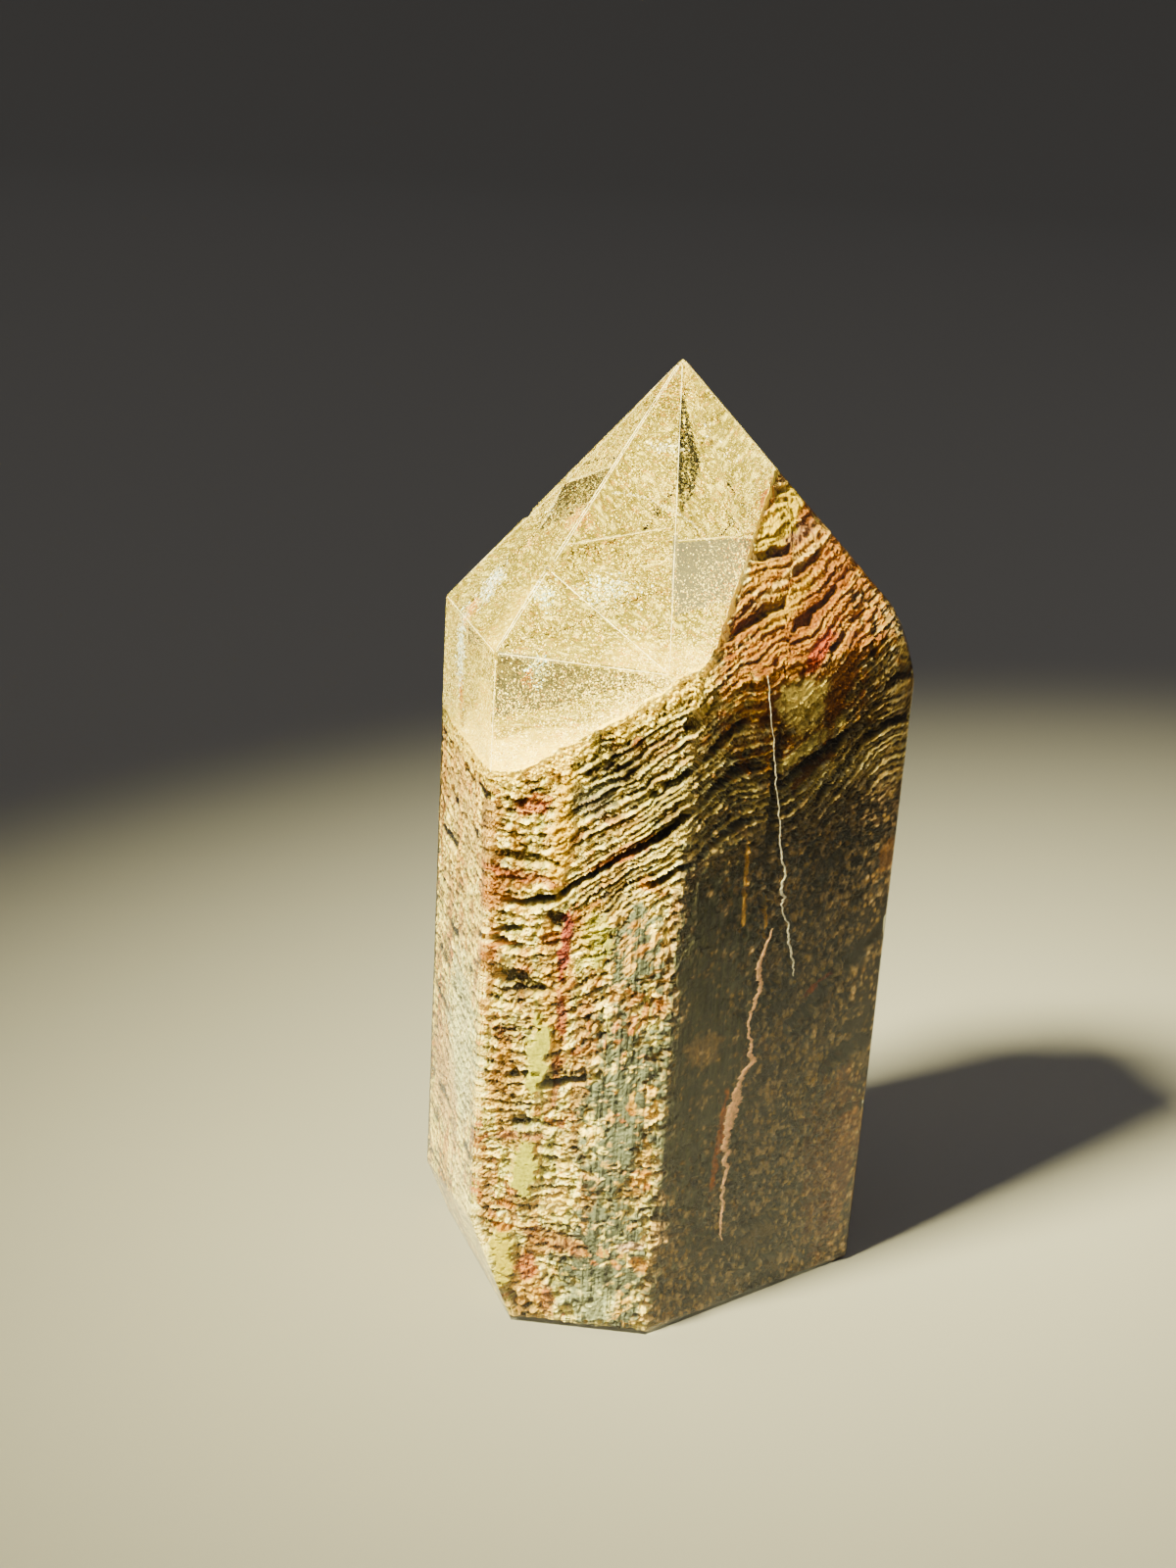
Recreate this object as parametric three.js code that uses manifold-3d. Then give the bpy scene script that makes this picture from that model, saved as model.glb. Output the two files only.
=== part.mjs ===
// Garden quartz point: one six-sided quartz crystal, ground flat and polished as a standing tower.
// It is clear at the tip, and below that its mineral garden fills it out to the polish.
//
// Millimetres. +Z is up, the foot lies on z = 0 and the origin is under the middle of the outline.
// An azimuth is a compass angle seen from above: 0 faces the front (-Y), 90 faces the right (+X).
// A tilt is how far a face's outward normal points above the horizontal.

import * as THREE from "three";
import { mergeVertices } from "three/addons/utils/BufferGeometryUtils.js";
import Module from "manifold-3d";

// Driving dimensions of the polished crystal
const HEIGHT = 85;
const TIP = { x: -1.2, y: -0.5 };
const TIP_WEAR = 0.2;
const EDGE_BEVEL_WIDTH = 0.4;
const WIDEST_EDGE_TURN = 85;
const FOOT_BEVEL = { height: 1.0, tilt: -25 };

// The six sides: the corner of the foot where each begins, from the front left one anticlockwise
// seen from above, and how far the side leans outwards as it rises, in degrees
const SIDES = [
  { corner: [-15.4, -17.2], lean: 0 },
  { corner: [1.0, -18.7], lean: 0 },
  { corner: [20.4, -3.5], lean: 0.8 },
  { corner: [15.2, 17.1], lean: 0 },
  { corner: [0.3, 18.7], lean: 0 },
  { corner: [-21.0, 3.2], lean: 0 },
];

// The six faces of the point, one above each side, which all meet at the tip
const POINT_FACES = [
  { azimuth: -3.1, tilt: 37.9 },
  { azimuth: 33.3, tilt: 33.2 },
  { azimuth: 111.2, tilt: 40.9 },
  { azimuth: 170.8, tilt: 38.7 },
  { azimuth: -145.2, tilt: 31.9 },
  { azimuth: -75.9, tilt: 38.5 },
];

// The facets ground under the left side and its back corner, which lean in towards the foot
const UNDERCUTS = [
  { azimuth: -69, tilt: -20.5, distance: 15.7 },
  { azimuth: -105, tilt: -33.5, distance: 15.2 },
];

// The shoulder on the right, worn round: an arc in the upright section, turned about an upright line
const SHOULDER = {
  azimuth: 80,
  arcRadius: 17.4,
  arcCentre: { out: 4.0, up: 55.4 },
  turnRadius: 8,
  tilts: [5, 11, 17, 23, 29, 35],
  turns: [-26, -13, 0, 13, 26],
};

// Two small chips on the edges of the point: where, how large, and how each hollow lies
const CHIPS = [
  { at: [-14.4, 1.9, 70.5], size: [1.3, 1.2, 0.8], turn: [20, 10, 35] },
  { at: [-11.6, -12.5, 69.0], size: [0.9, 0.6, 0.5], turn: [0, 30, 50] },
];

// The slopes of the garden's top, from left to right: which way each faces, and a point on it
const GARDEN_SLOPES = [
  { azimuth: -90, tilt: 81, at: [-20.5, 1.5, 51.4] },
  { azimuth: -114, tilt: 54, at: [-0.6, -18.2, 61.0] },
  { azimuth: -108, tilt: 27, at: [3.0, -14.5, 63.6] },
  { azimuth: -104, tilt: 6, at: [4.2, -10.7, 67.6] },
];

const UP = new THREE.Vector3(0, 0, 1);
const CUTTER = 200;
const ROUGH_RADIUS = 32;

const wasm = await Module();
wasm.setup();

function solidOf(geometry) {
  const bare = geometry.clone();
  bare.deleteAttribute("normal");
  bare.deleteAttribute("uv");
  const merged = mergeVertices(bare, 1e-5);
  return new wasm.Manifold(
    new wasm.Mesh({
      numProp: 3,
      vertProperties: new Float32Array(merged.attributes.position.array),
      triVerts: new Uint32Array(merged.index.array),
    }),
  );
}

function geometryOf(solid) {
  const mesh = solid.getMesh();
  const geometry = new THREE.BufferGeometry();
  geometry.setAttribute("position", new THREE.BufferAttribute(mesh.vertProperties, 3));
  geometry.setIndex(new THREE.BufferAttribute(mesh.triVerts, 1));
  geometry.computeVertexNormals();
  return geometry;
}

// A face is the plane normal . p = distance, with the stone on its inner side

function normalAt(azimuth, tilt) {
  const a = THREE.MathUtils.degToRad(azimuth);
  const t = THREE.MathUtils.degToRad(tilt);
  return new THREE.Vector3(Math.sin(a) * Math.cos(t), -Math.cos(a) * Math.cos(t), Math.sin(t));
}

function faceThrough(normal, point) {
  return { normal, distance: normal.dot(point) };
}

function sideFaces() {
  return SIDES.map(({ corner: [x, y], lean }, i) => {
    const [nextX, nextY] = SIDES[(i + 1) % SIDES.length].corner;
    const azimuth = THREE.MathUtils.radToDeg(Math.atan2(nextY - y, nextX - x));
    return faceThrough(normalAt(azimuth, -lean), new THREE.Vector3(x, y, 0));
  });
}

function pointFaces() {
  const tip = new THREE.Vector3(TIP.x, TIP.y, HEIGHT);
  return POINT_FACES.map(({ azimuth, tilt }) => faceThrough(normalAt(azimuth, tilt), tip));
}

function undercutFaces() {
  return UNDERCUTS.map(({ azimuth, tilt, distance }) => {
    return { normal: normalAt(azimuth, tilt), distance };
  });
}

function tipWearFace() {
  return { normal: UP.clone(), distance: HEIGHT - TIP_WEAR };
}

// A narrow sloping facet round the foot, below each side
function footBevels(sides) {
  const t = THREE.MathUtils.degToRad(FOOT_BEVEL.tilt);
  return sides.map(({ normal, distance }) => {
    const sloping = normal.clone().multiplyScalar(Math.cos(t)).addScaledVector(UP, Math.sin(t));
    const onSide = normal.clone().multiplyScalar(distance).setZ(FOOT_BEVEL.height);
    return faceThrough(sloping, onSide);
  });
}

// The planes that touch the worn shoulder all round
function shoulderFaces() {
  const { azimuth, arcRadius, arcCentre, turnRadius, tilts, turns } = SHOULDER;
  const axisOut = arcCentre.out + arcRadius - turnRadius;
  return turns.flatMap((turn) =>
    tilts.map((tilt) => {
      const d = THREE.MathUtils.degToRad(turn);
      const t = THREE.MathUtils.degToRad(tilt);
      const reach = axisOut * Math.cos(d) + arcCentre.out - axisOut;
      const distance = reach * Math.cos(t) + arcCentre.up * Math.sin(t) + arcRadius;
      return { normal: normalAt(azimuth + turn, tilt), distance };
    }),
  );
}

// The polished bevel along the edge where two faces meet
function edgeBevel(a, b) {
  const sum = a.normal.clone().add(b.normal);
  const halfTurn = a.normal.angleTo(b.normal) / 2;
  const depth = (EDGE_BEVEL_WIDTH / 2) * Math.tan(halfTurn);
  return {
    normal: sum.clone().normalize(),
    distance: (a.distance + b.distance) / sum.length() - depth,
  };
}

function edgeBevels(faces) {
  const bevels = [];
  faces.forEach((a, i) => {
    faces.slice(i + 1).forEach((b) => {
      const turn = THREE.MathUtils.radToDeg(a.normal.angleTo(b.normal));
      if (turn < WIDEST_EDGE_TURN) bevels.push(edgeBevel(a, b));
    });
  });
  return bevels;
}

// The rough crystal, before its faces are ground
function roughCrystal() {
  const prism = new THREE.CylinderGeometry(ROUGH_RADIUS, ROUGH_RADIUS, HEIGHT, SIDES.length);
  prism.rotateX(Math.PI / 2);
  prism.translate(0, 0, HEIGHT / 2);
  return solidOf(prism);
}

// Takes away all that stands outside a face
function grind(solid, { normal, distance }) {
  const block = new THREE.BoxGeometry(CUTTER, CUTTER, CUTTER);
  block.translate(0, 0, CUTTER / 2 + distance);
  block.applyQuaternion(new THREE.Quaternion().setFromUnitVectors(UP, normal));
  return solid.subtract(solidOf(block));
}

// Knocks a shallow shell-shaped hollow out of an edge
function chip(solid, { at, size, turn }) {
  const hollow = new THREE.IcosahedronGeometry(1, 1);
  hollow.scale(...size);
  const [x, y, z] = turn.map(THREE.MathUtils.degToRad);
  hollow.applyQuaternion(new THREE.Quaternion().setFromEuler(new THREE.Euler(x, y, z)));
  hollow.translate(...at);
  return solid.subtract(solidOf(hollow));
}

function polishedCrystal() {
  const sides = sideFaces();
  const main = [...sides, ...pointFaces(), ...undercutFaces()];
  const worn = [...shoulderFaces(), ...footBevels(sides), tipWearFace()];
  const faces = [...main, ...worn, ...edgeBevels(main)];
  const ground = faces.reduce(grind, roughCrystal());
  return CHIPS.reduce(chip, ground);
}

// The block of space above every slope of the garden
function spaceAboveGarden() {
  const slopes = GARDEN_SLOPES.map(({ azimuth, tilt, at }) => {
    const down = normalAt(azimuth, tilt).negate();
    return faceThrough(down, new THREE.Vector3(...at));
  });
  return slopes.reduce(grind, solidOf(new THREE.BoxGeometry(CUTTER, CUTTER, CUTTER)));
}

function meshOf(name, solid, color, roughness) {
  const material = new THREE.MeshStandardMaterial({ color, roughness, metalness: 0 });
  const mesh = new THREE.Mesh(geometryOf(solid), material);
  mesh.name = name;
  return mesh;
}

const crystal = polishedCrystal();
const above = spaceAboveGarden();

const object = new THREE.Group();
object.add(meshOf("quartz_point", crystal.intersect(above), "#cfc39a", 0.06));
object.add(meshOf("garden", crystal.subtract(above), "#8a6a4c", 0.45));

export default object;
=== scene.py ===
"""Looks for the garden quartz point: clear polished quartz over a layered mineral garden."""
import math
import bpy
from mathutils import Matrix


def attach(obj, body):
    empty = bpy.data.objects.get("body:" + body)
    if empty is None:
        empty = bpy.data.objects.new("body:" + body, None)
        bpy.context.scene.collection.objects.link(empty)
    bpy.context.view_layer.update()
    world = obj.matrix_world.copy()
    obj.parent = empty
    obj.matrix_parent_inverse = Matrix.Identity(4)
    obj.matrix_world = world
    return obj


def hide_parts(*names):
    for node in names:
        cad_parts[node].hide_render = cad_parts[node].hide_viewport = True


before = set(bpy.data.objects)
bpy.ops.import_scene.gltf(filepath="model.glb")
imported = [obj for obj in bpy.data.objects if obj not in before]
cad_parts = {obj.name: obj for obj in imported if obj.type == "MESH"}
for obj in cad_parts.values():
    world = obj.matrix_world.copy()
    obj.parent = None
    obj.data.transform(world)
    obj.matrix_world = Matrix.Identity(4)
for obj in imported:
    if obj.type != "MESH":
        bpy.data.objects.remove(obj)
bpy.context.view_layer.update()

from types import SimpleNamespace

import bmesh
import bpy
import numpy as np
from mathutils import Matrix, Vector

MM = 0.001
CLEAR_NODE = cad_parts["quartz_point"]
GARDEN_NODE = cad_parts["garden"]

COARSE = 1.0

# The camera stands in front and a little to the left, above the tip, and looks down (mm, degrees)
CAMERA = {"place": (-7.2, -186.2, 110.0), "pitch": 19.0, "roll": 3.3, "lens": 49.5, "sensor": 36.0}

# A soft-edged spot lights the crystal from the left, and a weak broad lamp fills in from the right
SPOT_CONE_DEG = 16.5
SPOT_BLEND = 0.6
KEY = {
    "azimuth": -53, "elevation": 46, "distance": 0.60, "size": 0.07,
    "power": 160.0, "colour": (1.0, 0.92, 0.47),
}
FILL = {
    "azimuth": 50, "elevation": 30, "distance": 0.8, "size": 0.6,
    "power": 1.1, "colour": (1.0, 0.92, 0.80),
}
LAMPS_AIM = (0, 0, 0.045)
WORLD = {"colour": (1.0, 0.97, 0.93, 1), "strength": 0.18}

# The floor: flat out to a distance, then curved up by an arc (m)
FLOOR = {
    "flat": 1.6, "arc": 0.8, "arc_steps": 16, "turns": 64,
    "colour": (0.26, 0.255, 0.25, 1), "roughness": 0.9,
}

# Minerals
CREAM = (0.92, 0.73, 0.15)
WHITE = (0.98, 0.91, 0.40)
PINK = (0.44, 0.21, 0.06)
SALMON = (0.30, 0.10, 0.01)
RUST = (0.25, 0.070, 0.0)
ORANGE = (0.44, 0.17, 0.0)
AMBER = (0.42, 0.19, 0.01)
GOLD = (0.90, 0.62, 0.22)
BRIGHT_GOLD = (1.0, 0.86, 0.40)
YELLOW = (0.44, 0.37, 0.0)
LEMON = (0.36, 0.345, 0.02)
CRIMSON = (0.32, 0.030, 0.02)
SLATE = (0.105, 0.12, 0.08)
TAN = (0.52, 0.29, 0.09)
BROWN = (0.16, 0.075, 0.035)
OLIVE = (0.050, 0.046, 0.018)
# Painted shade: near black, for the insides of pits and gaps and for the shadows of the fault and under
# the cream ledge
SHADE_BLACK = (0.030, 0.016, 0.006)
FROST = (0.95, 0.95, 0.92)
PALE_FROST = (0.95, 0.93, 0.86)
# Painted reflection: the bluish sky light seen in the quartz
SKY_REFLECTION = (0.62, 0.82, 1.0)

# Upright columns of other colours among the cream crumbs of the front
GOLDEN_COLUMN = (0.56, 0.30, 0.0)
RUSTY_COLUMN = (0.34, 0.13, 0.01)
GREEN_COLUMN = (0.38, 0.40, 0.08)

# The crumbs of the right side, darker partly by their own colour and partly as painted shade for the side
# turned from the key light, and the painted shade in the hollows between crumbs
RIGHT_CRUMB = (0.44, 0.20, 0.05)
RIGHT_SPECK = (0.62, 0.38, 0.14)
HOLLOW_SHADE = (0.020, 0.012, 0.005)
SILKY_HOLLOW_SHADE = (0.07, 0.08, 0.06)
RIGHT_SILKY_HOLLOW_SHADE = (0.021, 0.014, 0.007)

# The rust stain: painted shade in its hollows, rust, orange on its crests where painted light falls, and a
# painted highlight on its brightest crests; and the dark seams through it
STAIN = ((0.13, 0.040, 0.0), (0.25, 0.092, 0.0), (0.31, 0.14, 0.0), (0.46, 0.28, 0.0))
STAIN_SEAM = (0.10, 0.022, 0.0)

# The sand, darker at its back and brighter at its front, where painted light gathers on it
DARK_SAND = (0.16, 0.14, 0.02)
BRIGHT_SAND = (0.88, 0.67, 0.06)


# Noise

rng = np.random.RandomState(7)
TABLE_SIZE = 256
PERMUTATION = np.tile(rng.permutation(TABLE_SIZE), 2)
GRADIENTS = rng.normal(size=(TABLE_SIZE, 3))
GRADIENTS /= np.linalg.norm(GRADIENTS, axis=1)[:, None]
CELL_JITTER = rng.uniform(size=(TABLE_SIZE, 3))
NOISE_GAIN = 1.6

# Every noise field: its cells per mm, one number or three for x, y and z, and its seed
FIELDS = {
    "fault": (0.4, 3),
    "wave": (0.16, 11), "ripple": (0.5, 12), "wrinkle": (1.5, 13),
    "thin_shift": (2.6, 14),
    "lip": ((0.2, 0.2, 0.73), 16), "thin_run": ((0.35, 0.35, 0.9), 17),
    "crest": ((1.1, 1.1, 2.0), 21), "fine_crest": ((2.4, 2.4, 3.6), 22),
    "light": ((0.3, 0.3, 0.5), 23), "warm": (0.22, 24),
    "column": ((0.42, 0.42, 0.07), 25), "fine_column": ((1.1, 1.1, 0.3), 26),
    "patch": ((0.33, 0.33, 0.6), 27),
    "gap_run": ((0.14, 0.14, 3.7), 31), "gap_break": (0.6, 32),
    "rust_run": ((0.1, 0.1, 0.35), 43), "rust_orange": (0.5, 44), "rust_seam": ((0.35, 0.35, 0.7), 45),
    "edge_line": (1.3, 44),
    "lump": (0.15, 51), "small_lump": (0.5, 52), "fine_lump": (1.4, 53),
    "silk": ((2.6, 2.6, 0.14), 61), "fine_silk": ((5.5, 5.5, 0.3), 62),
    "chain": ((0.9, 0.9, 0.09), 63), "wide_chain": (0.3, 64),
    "clump_shift": (2.2, 65), "clump_chain": ((0.5, 0.5, 0.06), 66),
    "ragged": (0.9, 71), "fine_ragged": (2.4, 72),
    "glow": (0.12, 81), "small_glow": (0.4, 82),
    "haze": (0.35, 91),
    "cord_turn": (1, 95), "fine_cord_turn": (3, 96), "cord_width": (5, 97), "fine_cord_width": (14, 98),
    "cord_tone": (2.2, 99),
}

# Every set of grains, in the same way
GRAINS = {
    "crumb": ((1.2, 1.2, 1.75), 5),
    "fine_crumb": (3.0, 9),
    "speck": ((2.3, 2.3, 1.7), 13),
    "clump": ((1.25, 1.25, 0.95), 15),
}


def hashed(cell, seed):
    """A table index for each whole-number cell."""
    last = TABLE_SIZE - 1
    x, y, z = (cell[:, k] & last for k in range(3))
    return PERMUTATION[(PERMUTATION[(PERMUTATION[(x + seed) & last] + y) & last] + z) & last]


def noise(p, seed):
    """Gradient noise between about -1 and 1 at each point."""
    base = np.floor(p).astype(int)
    f = p - base
    u = f * f * f * (f * (f * 6 - 15) + 10)
    total = np.zeros(len(p))
    for dx in (0, 1):
        wx = u[:, 0] if dx else 1 - u[:, 0]
        for dy in (0, 1):
            wy = u[:, 1] if dy else 1 - u[:, 1]
            for dz in (0, 1):
                wz = u[:, 2] if dz else 1 - u[:, 2]
                step = np.array([dx, dy, dz])
                g = GRADIENTS[hashed(base + step, seed)]
                total += wx * wy * wz * np.einsum("ij,ij->i", g, f - step)
    return total * NOISE_GAIN


def field(name, p):
    """The named noise field at each point."""
    scale, seed = FIELDS[name]
    return noise(p * np.array(scale), seed)


def grains(name, p, shift=0):
    """Distance to the nearest of the named grains, in cells, and that grain's own random number."""
    scale, seed = GRAINS[name]
    p = p * np.array(scale) + shift
    base = np.floor(p).astype(int)
    nearest = np.full(len(p), 9.0)
    own = np.zeros(len(p))
    for dx in (-1, 0, 1):
        for dy in (-1, 0, 1):
            for dz in (-1, 0, 1):
                cell = base + np.array([dx, dy, dz])
                h = hashed(cell, seed)
                d = np.linalg.norm(cell + CELL_JITTER[h] - p, axis=1)
                closer = d < nearest
                nearest = np.where(closer, d, nearest)
                own = np.where(closer, CELL_JITTER[h, 0], own)
    return nearest, own


def ease(low, high, x):
    """Smooth step from 0 at low to 1 at high."""
    t = np.clip((x - low) / (high - low), 0, 1)
    return t * t * (3 - 2 * t)


def pick(value, low, high):
    """1 where the value lies between low and high, 0 elsewhere."""
    return ease(low, low + 0.02, value) * ease(high + 0.02, high, value)


def mixed(value, other, amount):
    return value * (1 - amount) + other * amount


def tinted(colour, other, amount):
    """The colours, moved towards the other ones by each point's amount."""
    return mixed(np.asarray(colour), np.asarray(other), amount[:, None])


# The polished faces, read from the CAD solids

PLANE_TOLERANCE = 0.02


def corners_mm(node):
    return np.array([v.co for v in node.data.vertices]) / MM


def planes_of(node, keep):
    """Normals and distances (mm) of the node's faces that keep() picks, each plane once."""
    own = corners_mm(node)
    found = {}
    for face in node.data.polygons:
        n = np.array(face.normal)
        d = n @ own[face.vertices[0]]
        if keep(n, d):
            found.setdefault(tuple(np.round(n, 2)), (n, d))
    return list(found.values())


ALL_CORNERS = np.r_[corners_mm(CLEAR_NODE), corners_mm(GARDEN_NODE)]


def on_the_outside(n, d):
    return (ALL_CORNERS @ n).max() < d + PLANE_TOLERANCE


def on_the_garden(n, d):
    """True for the clear quartz's faces that meet the garden."""
    bounding = (corners_mm(CLEAR_NODE) @ n).max() < d + PLANE_TOLERANCE
    return n[2] < -0.05 and bounding and not on_the_outside(n, d)


OUTSIDE = planes_of(CLEAR_NODE, on_the_outside) + planes_of(GARDEN_NODE, on_the_outside)
FACE_NORMALS = np.array([n for n, _ in OUTSIDE])
FACE_DISTANCES = np.array([d for _, d in OUTSIDE])
SLOPES = planes_of(CLEAR_NODE, on_the_garden)
SLOPE_NORMALS = np.array([-n for n, _ in SLOPES])
SLOPE_DISTANCES = np.array([-d for _, d in SLOPES])


def room_under(p):
    """Distance of each point below each polished face."""
    return FACE_DISTANCES[None, :] - p @ FACE_NORMALS.T


def above_garden(p):
    """Distance of each point above the garden's slopes, where it is above them all."""
    return (p @ SLOPE_NORMALS.T - SLOPE_DISTANCES[None, :]).min(axis=1)


def exit_run(start, way, normals, distances):
    """How far each ray runs before it leaves through one of the planes."""
    along = way @ normals.T
    room = distances[None, :] - start @ normals.T
    with np.errstate(divide="ignore", invalid="ignore"):
        return np.where(along > 1e-6, room / along, np.where(room > 0, np.inf, 0)).min(axis=1)


# The clear quartz

WELD = 0.00002
FLAT_ANGLE = 0.003


def polished_quartz():
    """One clear body over the whole crystal: the two solids joined, without the seam between them."""
    piece = bpy.data.objects.new("clear_quartz", CLEAR_NODE.data.copy())
    bpy.context.scene.collection.objects.link(piece)
    join = piece.modifiers.new("join", "BOOLEAN")
    join.operation = "UNION"
    join.solver = "EXACT"
    join.object = GARDEN_NODE
    bpy.context.view_layer.update()
    joined = bpy.data.meshes.new_from_object(piece.evaluated_get(bpy.context.evaluated_depsgraph_get()))
    piece.modifiers.clear()
    body = bmesh.new()
    body.from_mesh(joined)
    bmesh.ops.remove_doubles(body, verts=body.verts, dist=WELD)
    bmesh.ops.dissolve_limit(body, angle_limit=FLAT_ANGLE, verts=body.verts, edges=body.edges)
    body.to_mesh(joined)
    body.free()
    piece.data = joined
    piece.visible_shadow = False
    joined.materials.clear()
    joined.materials.append(quartz_material())
    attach(piece, "root")
    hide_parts("quartz_point")
    return piece


# The garden's skin

# It lies this far under the polish (mm)
SKIN_DEPTH = 0.03

# The garden is drawn outwards from an upright line, and from its top end for the crown
AXIS = np.array([8.0, -1.0])
FOOT_Z = 0.25
CROWN_Z = 44.0
CROWN_REACH = 26.0
POLE_DEPTH = 0.05

# The section that the columns are spaced along
SECTION_Z = 40.0
SECTION_STEPS = 3000

# The relief is kept shallow beside the upright edge on the right, which shows against the background
RIGHT_EDGE = (20.6, -3.5)
RIGHT_EDGE_REACH = 5.0

# The slices of the garden: name, first and last direction from the axis (degrees), mesh spacing (mm)
GARDEN_SLICES = (
    ("garden_left", -98.2, -55.3, 0.155),
    ("garden_front", -55.3, -21.6, 0.13),
    ("garden_right", -21.6, 78.6, 0.15),
    ("garden_back", 78.6, 261.8, 0.3),
)

# Neighbouring slices overlap by this much
SEAM_OVERLAP_DEG = 0.2


def columns(start_deg, end_deg, spacing):
    """Compass directions spaced evenly along the crystal's section between two directions."""
    fine = np.radians(np.linspace(start_deg, end_deg, SECTION_STEPS))
    way = np.c_[np.sin(fine), -np.cos(fine), np.zeros(len(fine))]
    start = np.array([[AXIS[0], AXIS[1], SECTION_Z]])
    xy = start + way * exit_run(start, way, FACE_NORMALS, FACE_DISTANCES)[:, None]
    run = np.r_[0, np.cumsum(np.linalg.norm(np.diff(xy, axis=0), axis=1))]
    count = int(round(run[-1] / spacing))
    return np.interp(np.linspace(0, run[-1], count + 1), run, fine)


def rows(spacing):
    """Height and elevation angle of each row's rays: level ones first, then those of the crown."""
    low = np.linspace(FOOT_Z, CROWN_Z, int((CROWN_Z - FOOT_Z) / spacing) + 1)
    turns = np.linspace(0, math.pi / 2, int(math.pi / 2 * CROWN_REACH / spacing) + 1)[1:-1]
    return np.r_[low, np.full(len(turns), CROWN_Z)], np.r_[np.zeros(len(low)), turns], len(low)


def garden_skin(azimuth, height, rise):
    """The smooth garden's point on each ray, the way outwards there, and which points are on its top."""
    way = np.c_[np.sin(azimuth) * np.cos(rise), -np.cos(azimuth) * np.cos(rise), np.sin(rise)]
    start = np.c_[np.full(len(height), AXIS[0]), np.full(len(height), AXIS[1]), height]
    outer = exit_run(start, way, FACE_NORMALS, FACE_DISTANCES - SKIN_DEPTH)
    near_skin = start + way * outer[:, None]
    lump = 1.2 * field("lump", near_skin) + 0.5 * field("small_lump", near_skin)
    lump = lump + 0.3 * field("fine_lump", near_skin)
    along = way @ SLOPE_NORMALS.T
    rooms = SLOPE_DISTANCES[None, :] - start @ SLOPE_NORMALS.T
    crossing = np.where(along > 1e-6, rooms / np.maximum(along, 1e-6), np.inf)
    slope = crossing.argmax(axis=1)
    inner = crossing.max(axis=1) + lump
    on_top = inner < outer
    rim = np.abs(outer - inner)
    p = start + way * np.minimum(outer, inner)[:, None]
    weight = np.exp(-(room_under(p) - SKIN_DEPTH) / 0.4)
    out = weight @ FACE_NORMALS
    out = np.where(on_top[:, None], SLOPE_NORMALS[slope], out)
    return p, out / np.linalg.norm(out, axis=1)[:, None], on_top, rim


# The garden's layers and crumbs

LEDGE_PERIOD = 1.0
THIN_LEDGE_PERIOD = 0.6
GAP_PERIOD = 4.3
GAP_SHIFT = 0.35
CRUMB_DEPTH = 1.15
SILK_DEPTH = 0.16
GAP_DEPTH = 2.0

# Smooth silky panes with upright lines: x, z, half width, half height
PANES = ((-2.3, 37.4, 2.6, 3.9), (-3.0, 22.0, 3.0, 9.0), (-3.2, 6.0, 4.0, 6.0), (4.4, 28.0, 4.2, 17.0))

# The shade on the fold's middle and the rust stain: x, z, half width, half height, turn
FOLD_SHADE = (2.5, 50.2, 5.5, 3.4, 30)
RUST_PLACE = (10.2, 64.5, 7.2, 11, -8)
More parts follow.
